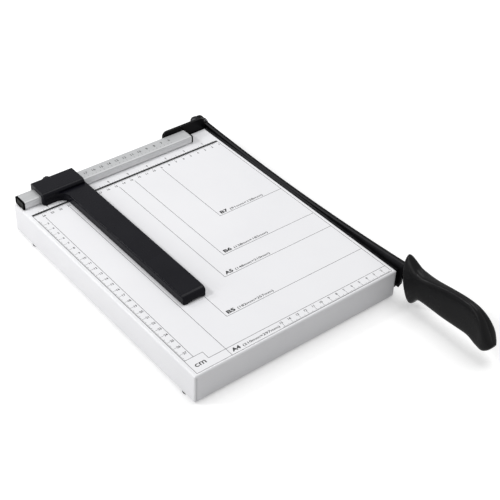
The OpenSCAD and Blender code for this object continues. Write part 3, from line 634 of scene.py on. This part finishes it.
def station_curve(column, share):
    """Cubic curve through one column of the stations."""
    i = 0
    while i < len(HANDLE_STATIONS) - 2 and share >= HANDLE_STATIONS[i + 1][0]:
        i += 1
    start = HANDLE_STATIONS[i]
    end = HANDLE_STATIONS[i + 1]
    length = end[0] - start[0]
    t = (share - start[0]) / length
    return ((2 * t ** 3 - 3 * t ** 2 + 1) * start[column]
            + (t ** 3 - 2 * t ** 2 + t) * length * station_slope(column, i)
            + (3 * t ** 2 - 2 * t ** 3) * end[column]
            + (t ** 3 - t ** 2) * length * station_slope(column, i + 1))


def squared(value, power):
    """Power of a value that keeps its sign."""
    return math.copysign(abs(value) ** power, value)


def half_ring(share, side):
    """Points of one half of a section, from the lower seam round the flank to the upper seam."""
    crest = station_curve(1, share) * MM
    belly = station_curve(2, share) * MM
    half = station_curve(3, share) * HANDLE_HALF
    top_power = station_curve(4, share)
    low_power = HANDLE_SQUARE + BUTT_ROUND * max(0, (share - BUTT_SHARE) / (1 - BUTT_SHARE))
    taper = (1 - station_curve(5, share)) / 2
    lean = GUARD_LEAN * max(0, 1 - share / GUARD_SHARE) ** 2
    middle = (crest + belly) / 2
    rise = (crest - belly) / 2
    low_stop = math.acos((SEAM_HALF / half) ** (1 / low_power))
    high_stop = math.acos((SEAM_HALF / half / (1 - 2 * taper)) ** (1 / top_power))
    section = [(0, belly + SEAM_DEPTH)]
    for k in range(HALF_SIDES + 1):
        angle = -low_stop + (low_stop + high_stop) * k / HALF_SIDES
        power = top_power if angle > 0 else low_power
        height = squared(math.sin(angle), power)
        width = half * abs(math.cos(angle)) ** power * (1 - taper * (1 + height))
        section.append((width, middle + rise * height))
    section.append((0, crest - SEAM_DEPTH))
    y = handle_y0 - handle_length * share
    return [Vector((handle_x + side * x, y + lean * z, handle_z + z)) for x, z in section]


def half_handle(name, side, node):
    """One moulded half, closed on the parting plane."""
    mesh = bmesh.new()
    shares = [(1 - math.cos(math.pi * i / HANDLE_RINGS)) / 2 for i in range(HANDLE_RINGS + 1)]
    rings = [[mesh.verts.new(p) for p in half_ring(share, side)] for share in shares]
    for ring, following in zip(rings, rings[1:]):
        count = len(ring)
        for k in range(count):
            j = (k + 1) % count
            mesh.faces.new((ring[k], ring[j], following[j], following[k]))
    mesh.faces.new(rings[0])
    mesh.faces.new(rings[-1])
    if side > 0:
        combine(mesh, handle_bores(), "DIFFERENCE")
    piece = make_piece(name, mesh, HANDLE_PLASTIC, "arm", sharp_angle=40)
    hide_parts(node)


# Small turned parts

def solids(name):
    """Boxes of the separate solids of a CAD node, sorted by place."""
    mesh = bmesh.new()
    mesh.from_mesh(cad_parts[name].data)
    bmesh.ops.remove_doubles(mesh, verts=mesh.verts, dist=1e-6)
    waiting = set(mesh.verts)
    boxes = []
    while waiting:
        group = [waiting.pop()]
        for vert in group:
            for edge in vert.link_edges:
                other = edge.other_vert(vert)
                if other in waiting:
                    waiting.discard(other)
                    group.append(other)
        low = [min(v.co[i] for v in group) for i in range(3)]
        high = [max(v.co[i] for v in group) for i in range(3)]
        boxes.append((low, high))
    mesh.free()
    return [(Vector(low), Vector(high)) for low, high in sorted(boxes)]


def lathe(mesh, profile, place, axis, start, sides=40):
    """Turned solid from pairs of radius and height along an axis. Its first corners face the start."""
    across = axis.cross(start)
    rings = []
    for radius, height in profile:
        count = sides if radius else 1
        ring = []
        for k in range(count):
            angle = 2 * math.pi * k / sides
            out = radius * (math.cos(angle) * start + math.sin(angle) * across)
            ring.append(mesh.verts.new(place + out + height * axis))
        rings.append(ring)
    for ring, following in zip(rings, rings[1:]):
        for k in range(sides):
            j = k + 1
            corners = [ring[k % len(ring)], ring[j % len(ring)],
                       following[j % len(following)], following[k % len(following)]]
            mesh.faces.new(list(dict.fromkeys(corners)))


def combine(mesh, tool, operation):
    """Cuts a tool out of an edited mesh, or keeps what both share. The tool is used up."""
    holders = []
    for part in (mesh, tool):
        bmesh.ops.recalc_face_normals(part, faces=part.faces)
        data = bpy.data.meshes.new("combine")
        part.to_mesh(data)
        holders.append(new_object("combine", data))
    tool.free()
    change = holders[0].modifiers.new("combine", "BOOLEAN")
    change.object = holders[1]
    change.operation = operation
    change.solver = "EXACT"
    result = evaluated_mesh(holders[0])
    mesh.clear()
    mesh.from_mesh(result)
    bpy.data.meshes.remove(result)
    for holder in holders:
        bpy.data.meshes.remove(holder.data)


def join(mesh, other):
    """Adds an edited mesh to another one. The added one is used up."""
    data = bpy.data.meshes.new("join")
    other.to_mesh(data)
    other.free()
    mesh.from_mesh(data)
    bpy.data.meshes.remove(data)


def side_of(axis):
    """Direction square to an axis, where the first corner of a turned part lies."""
    return X_AXIS if abs(axis.x) < 0.5 else Z_AXIS


def span(box, direction):
    """Extent of a box along one of the main directions."""
    return abs((box[1] - box[0]).dot(direction))


def end_of(box, axis):
    """Middle of the end face of a box, on the side an axis points to."""
    middle = (box[0] + box[1]) / 2
    return middle + axis * span(box, axis) / 2


# Fasteners: heads are heights, shanks are radii
THREAD_PITCH = 0.7 * MM
THREAD_DEPTH = 0.3 * MM
EDGE_BREAK = 0.12 * MM
SMALL_HEAD = 2.2 * MM
SMALL_SHANK = 2 * MM
HANDLE_SHANK = 1.75 * MM
BRACKET_HEAD = 2.8 * MM
BRACKET_SHANK = 2.5 * MM
PIVOT_SHANK = 4 * MM
NUT_CLEARANCE = 0.05 * MM
NUT_LIP = 0.35 * MM
NUT_SPARE = 0.2 * MM
RIVET_SHANK = 2.4 * MM
RIVET_SINK = 0.9 * MM
DOME_STEPS = 8
# Shares of a head: the domed part of a pan head's height, and a cross recess's depth, arms and reach
PAN_DOME = 0.55
PAN_STEPS = 6
RECESS_DEPTH = 0.6
RECESS_ARM = 0.17
RECESS_REACH = 0.58


def screw_profile(style, head_radius, head_height, shank, length):
    """Profile of a screw from the top of its head inwards, with a pan head or a flat countersunk one."""
    if style == "pan":
        rise = PAN_DOME * head_height
        steps = [math.pi / 2 * k / PAN_STEPS for k in range(PAN_STEPS + 1)]
        profile = [(head_radius * math.sin(t), rise * (math.cos(t) - 1)) for t in steps]
        profile += [(head_radius, EDGE_BREAK - head_height), (head_radius - EDGE_BREAK, -head_height)]
    else:
        profile = [(0, 0), (head_radius - EDGE_BREAK, 0), (head_radius, -EDGE_BREAK)]
    height = -head_height
    profile.append((shank, height))
    while height - 2 * THREAD_PITCH > -length:
        profile.append((shank, height - 0.25 * THREAD_PITCH))
        profile.append((shank - THREAD_DEPTH, height - 0.6 * THREAD_PITCH))
        height -= THREAD_PITCH
        profile.append((shank, height))
    profile += [(shank, 2 * THREAD_DEPTH - length), (shank - THREAD_DEPTH, -length), (0, -length)]
    return profile


def cross_recess(place, axis, radius, depth):
    """Tapered plus-shaped tool for a cross recess."""
    half = RECESS_ARM * radius
    reach = RECESS_REACH * radius
    plus = [(half, half), (half, reach), (-half, reach), (-half, half), (-reach, half), (-reach, -half),
            (-half, -half), (-half, -reach), (half, -reach), (half, -half), (reach, -half), (reach, half)]
    start = side_of(axis)
    across = axis.cross(start)
    tool = bmesh.new()
    rings = []
    for height, scale in ((0.5 * depth, 1.2), (-depth, 0.6)):
        spots = [place + scale * (u * start + v * across) + height * axis for u, v in plus]
        rings.append([tool.verts.new(spot) for spot in spots])
    count = len(plus)
    for k in range(count):
        j = (k + 1) % count
        tool.faces.new((rings[0][k], rings[0][j], rings[1][j], rings[1][k]))
    tool.faces.new(rings[0])
    tool.faces.new(rings[1])
    return tool


def make_screws(node, axis, style, head_height, shank, material, body):
    """Screws with a cross recess in place of plain CAD ones."""
    mesh = bmesh.new()
    for box in solids(node):
        start = side_of(axis)
        head_radius = span(box, start) / 2
        place = end_of(box, axis)
        profile = screw_profile(style, head_radius, head_height, shank, span(box, axis))
        one = bmesh.new()
        lathe(one, profile, place, axis, start)
        combine(one, cross_recess(place, axis, head_radius, RECESS_DEPTH * head_height), "DIFFERENCE")
        join(mesh, one)
    piece = make_piece(node + "_crossed", mesh, material, body, sharp_angle=35)
    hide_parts(node)


def make_nuts(node, axis, shank, material):
    """Chamfered hexagon nuts in place of plain CAD ones."""
    mesh = bmesh.new()
    corner = side_of(axis)
    bore = shank + NUT_CLEARANCE
    lip = bore + NUT_LIP
    steepness = math.tan(math.pi / 6)
    for box in solids(node):
        length = span(box, axis)
        radius = span(box, corner) / 2
        flat = radius * math.cos(math.pi / 6)
        place = end_of(box, -axis)
        one = bmesh.new()
        lathe(one, [(0, 0), (radius, 0), (radius, length), (0, length)], place, axis, corner, sides=6)
        barrel = bmesh.new()
        widest = radius + NUT_SPARE
        rise = (widest - flat + EDGE_BREAK) * steepness
        inner = flat - EDGE_BREAK - NUT_SPARE / steepness
        outline = [(0, -NUT_SPARE), (inner, -NUT_SPARE), (widest, rise), (widest, length - rise),
                   (inner, length + NUT_SPARE), (0, length + NUT_SPARE)]
        lathe(barrel, outline, place, axis, corner, sides=60)
        combine(one, barrel, "INTERSECT")
        hole = bmesh.new()
        outline = [(0, -MM), (lip, -MM), (lip, 0), (bore, NUT_LIP), (bore, length - NUT_LIP),
                   (lip, length), (lip, length + MM), (0, length + MM)]
        lathe(hole, outline, place, axis, corner)
        combine(one, hole, "DIFFERENCE")
        join(mesh, one)
    piece = make_piece(node + "_chamfered", mesh, material, "base", sharp_angle=25)
    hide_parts(node)


def make_rivets():
    """Rivets with a domed head outside the bar and a flush end in the blade."""
    mesh = bmesh.new()
    for box in solids("blade_rivets"):
        length = span(box, X_AXIS)
        radius = span(box, Y_AXIS) / 2
        head = box[1].x - bar_high.x
        seat = length - head
        profile = [(0, 0), (RIVET_SHANK + RIVET_SINK, 0), (RIVET_SHANK, RIVET_SINK), (RIVET_SHANK, seat)]
        for k in range(DOME_STEPS):
            angle = math.pi / 2 * k / DOME_STEPS
            profile.append((radius * math.cos(angle), seat + head * math.sin(angle)))
        profile.append((0, length))
        lathe(mesh, profile, end_of(box, -X_AXIS), X_AXIS, Z_AXIS)
    piece = make_piece("blade_rivets_domed", mesh, PAINT, "arm", sharp_angle=40)
    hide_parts("blade_rivets")


def handle_bores():
    """Tools for the counterbores of the handle's screws."""
    tool = bmesh.new()
    for box in solids("handle_screws"):
        seat = end_of(box, X_AXIS) - SMALL_HEAD * X_AXIS
        depth = 4 * SMALL_HEAD
        lathe(tool, [(0, 0), (SCREW_BORE, 0), (SCREW_BORE, depth), (0, depth)], seat, X_AXIS, Z_AXIS)
    return tool


half_handle("handle_left_half", -1, "handle_left")
half_handle("handle_right_half", 1, "handle_right")
make_screws("bed_screws", X_AXIS, "flat", SMALL_HEAD, SMALL_SHANK, ZINC, "base")
make_screws("rail_screws", -Z_AXIS, "pan", SMALL_HEAD, SMALL_SHANK, ZINC, "base")
make_screws("stop_screw", X_AXIS, "pan", SMALL_HEAD, SMALL_SHANK, BLACK_ZINC, "base")
make_screws("bracket_bolts", Y_AXIS, "pan", BRACKET_HEAD, BRACKET_SHANK, BLACK_ZINC, "base")
make_screws("handle_screws", X_AXIS, "pan", SMALL_HEAD, HANDLE_SHANK, BLACK_ZINC, "arm")
make_nuts("bed_nuts", X_AXIS, SMALL_SHANK, ZINC)
make_nuts("stop_nut", X_AXIS, SMALL_SHANK, ZINC)
make_nuts("bracket_nuts", Y_AXIS, BRACKET_SHANK, ZINC)
make_nuts("pivot_nut", X_AXIS, PIVOT_SHANK, BLACK_ZINC)
make_rivets()


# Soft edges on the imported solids

WELD_DISTANCE = 1e-6
FLAT_DEGREES = 0.5
SHARP_DEGREES = 30
EDGE_SEGMENTS = 3


def soften(name, width):
    """Rounds the sharp edges of a CAD node by modifiers, which leave its own mesh as it is."""
    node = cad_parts[name]
    node.modifiers.new("weld", "WELD").merge_threshold = WELD_DISTANCE
    flat = node.modifiers.new("flat", "DECIMATE")
    flat.decimate_type = "DISSOLVE"
    flat.angle_limit = math.radians(FLAT_DEGREES)
    bevel = node.modifiers.new("soft_edges", "BEVEL")
    bevel.width = width
    bevel.segments = EDGE_SEGMENTS
    bevel.limit_method = "ANGLE"
    bevel.angle_limit = math.radians(SHARP_DEGREES)
    node.modifiers.new("shading", "WEIGHTED_NORMAL").keep_sharp = False


# Widths of the soft edges in millimetres
SOFT_EDGES = {
    "paper_guide": 0.5, "lock_screw": 0.25,
    "rail": 0.2, "rail_cap_left": 0.3, "rail_cap_right": 0.3,
    "base_pan": 0.2, "bed_knife": 0.12, "rubber_feet": 0.3, "stop_sleeve": 0.35,
    "pivot_bracket": 0.35, "arm_bar": 0.3, "pivot_bolt": 0.35, "pivot_bush": 0.15, "outer_washer": 0.15,
}
for name, width in SOFT_EDGES.items():
    soften(name, width * MM)


# Studio

# Camera's place from the middle of the base's foot, its angles in degrees and its focal length
CAMERA_FROM_BASE = Vector((-565.2 * MM, -751.19 * MM, 774.94 * MM))
CAMERA_AZIMUTH = -40.12
CAMERA_ELEVATION = 38.84
CAMERA_ROLL = 2.44
FOCAL_PIXELS = 1160.7
IMAGE_PIXELS = 500
SENSOR = 36
# Strength of the surroundings as light, and the floor's half width, own colour and glow
AMBIENT = 0.35
FLOOR_HALF = 6
FLOOR_ALBEDO = 0.75
FLOOR_GLOW = 0.375
# Place in metres, side in metres and power in watts of each soft box
LAMPS = {
    "key": ((0.8, 0.14, 2.28), 1.5, 27),
    "left_fill": ((-2.2, 0.3, 0.9), 1.0, 10.2),
    "guide_rim": ((-0.85, 1.13, 0.94), 0.22, 3.8),
    "handle_rim": ((-0.91, 0.55, 1.02), 0.22, 5.6),
}


def seen_directly(tree):
    """1 for rays from the camera and for mirrored or refracted ones, 0 for light that bounces."""
    path = add(tree, "LightPath").outputs
    mirrored = number_math(tree, "MAXIMUM", path["Is Glossy Ray"], path["Is Transmission Ray"])
    return number_math(tree, "MAXIMUM", path["Is Camera Ray"], mirrored)


def make_world():
    """Pale surroundings: white where they are seen, dimmer as light on the trimmer."""
    world = bpy.data.worlds.new("studio")
    bpy.context.scene.world = world
    world.use_nodes = True
    tree = world.node_tree
    backdrop = tree.nodes["Background"]
    backdrop.inputs["Color"].default_value = (1, 1, 1, 1)
    limits = {"Value": seen_directly(tree), "To Min": AMBIENT, "To Max": 1.0}
    tree.links.new(add(tree, "MapRange", limits).outputs["Result"], backdrop.inputs["Strength"])


def make_floor():
    """White floor that keeps the shadow of the trimmer."""
    material = bpy.data.materials.new("floor")
    material.use_nodes = True
    tree = material.node_tree
    tree.nodes.remove(tree.nodes["Principled BSDF"])
    matt = add(tree, "BsdfDiffuse", {"Color": (*grey(FLOOR_ALBEDO), 1)})
    strength = number_math(tree, "MULTIPLY", seen_directly(tree), FLOOR_GLOW)
    glow = add(tree, "Emission", {"Strength": strength})
    both = add(tree, "AddShader", {0: matt.outputs[0], 1: glow.outputs[0]})
    tree.links.new(both.outputs[0], tree.nodes["Material Output"].inputs["Surface"])
    mesh = bmesh.new()
    bmesh.ops.create_grid(mesh, x_segments=1, y_segments=1, size=FLOOR_HALF)
    data = bpy.data.meshes.new("floor")
    mesh.to_mesh(data)
    mesh.free()
    data.materials.append(material)
    new_object("floor", data)


def area_lamp(name, place, target, size, power):
    """Square soft box at a place, facing a target."""
    lamp = bpy.data.lights.new(name, "AREA")
    lamp.size = size
    lamp.energy = power
    holder = new_object(name, lamp)
    holder.location = place
    aim = Vector(target) - Vector(place)
    holder.rotation_mode = "QUATERNION"
    holder.rotation_quaternion = aim.to_track_quat("-Z", "Y")


def make_camera():
    """Camera at the photograph's place, from the middle of the base's foot."""
    data = bpy.data.cameras.new("camera")
    data.sensor_width = SENSOR
    data.lens = FOCAL_PIXELS / IMAGE_PIXELS * SENSOR
    camera = new_object("camera", data)
    azimuth = math.radians(CAMERA_AZIMUTH)
    elevation = math.radians(CAMERA_ELEVATION)
    level = math.cos(elevation)
    back = Vector((math.sin(azimuth) * level, -math.cos(azimuth) * level, math.sin(elevation)))
    base_foot = Vector(((base_low.x + base_high.x) / 2, (base_low.y + base_high.y) / 2, 0))
    camera.location = base_foot + CAMERA_FROM_BASE
    camera.rotation_mode = "QUATERNION"
    roll = Quaternion(Z_AXIS, math.radians(CAMERA_ROLL))
    camera.rotation_quaternion = (-back).to_track_quat("-Z", "Y") @ roll
    bpy.context.scene.camera = camera


make_world()
make_floor()
make_camera()
object_middle = (cad_box[0] + cad_box[1]) / 2
for name, (place, size, power) in LAMPS.items():
    area_lamp(name, place, object_middle, size, power)
bpy.context.scene.view_settings.view_transform = "Standard"
